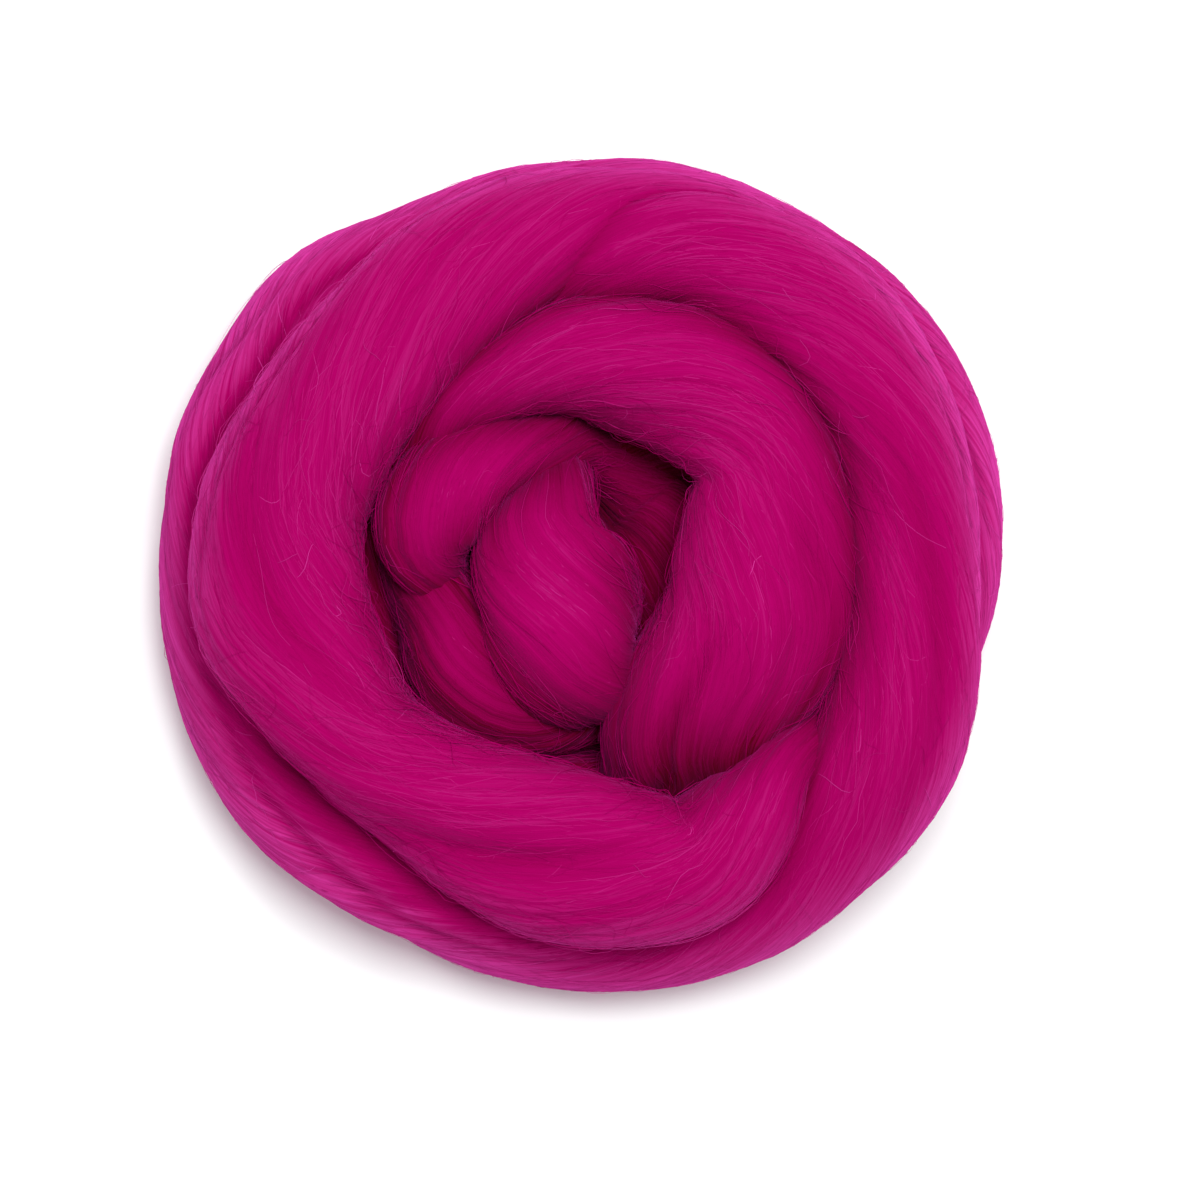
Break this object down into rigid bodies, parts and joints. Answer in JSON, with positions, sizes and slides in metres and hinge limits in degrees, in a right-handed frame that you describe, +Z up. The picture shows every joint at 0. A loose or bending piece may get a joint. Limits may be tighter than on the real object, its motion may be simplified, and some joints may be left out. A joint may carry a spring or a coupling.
{
  "type": "wool roving nest",
  "caption": "A long, soft strand of combed magenta wool wound into a round nest, with a fold standing in the middle and its ends tucked in.",
  "frame": {"origin": "on the surface the nest rests on, under the middle of its bounding box", "axes": "+Z up, out of the nest's top; +Y towards the top of the picture and +X to its right"},
  "size_m": [0.1342, 0.1332, 0.0477],
  "materials": {
    "combed_wool": "soft, fuzzy, matt wool with a faint sheen along the fibres"
  },
  "bodies": {
    "root": {"wound_roving": "combed_wool"}
  },
  "joints": []
}
